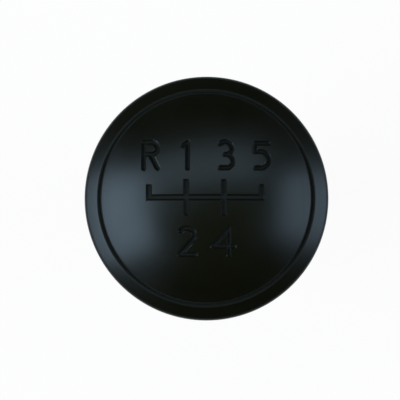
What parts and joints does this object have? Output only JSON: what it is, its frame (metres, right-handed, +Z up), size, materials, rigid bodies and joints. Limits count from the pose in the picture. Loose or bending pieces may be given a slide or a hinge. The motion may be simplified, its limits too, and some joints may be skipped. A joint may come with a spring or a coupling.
{
  "type": "gear shift knob",
  "caption": "Round gear shift knob with a domed snap-in cap engraved with the shift gate, a waisted neck and a threaded brass insert for the lever.",
  "frame": {"origin": "centre of the neck's flat lower face", "axes": "+Z up along the lever's axis, +Y forward in the car, so the gate's bar runs along X"},
  "size_m": [0.05, 0.05, 0.068],
  "materials": {
    "body_plastic": "satin black with a fine mould grain",
    "cap_plastic": "satin black with a fine mould grain",
    "insert_brass": "turned"
  },
  "bodies": {
    "root": {"knob_body": "body_plastic", "pattern_cap": "cap_plastic", "threaded_insert": "insert_brass"}
  },
  "joints": []
}
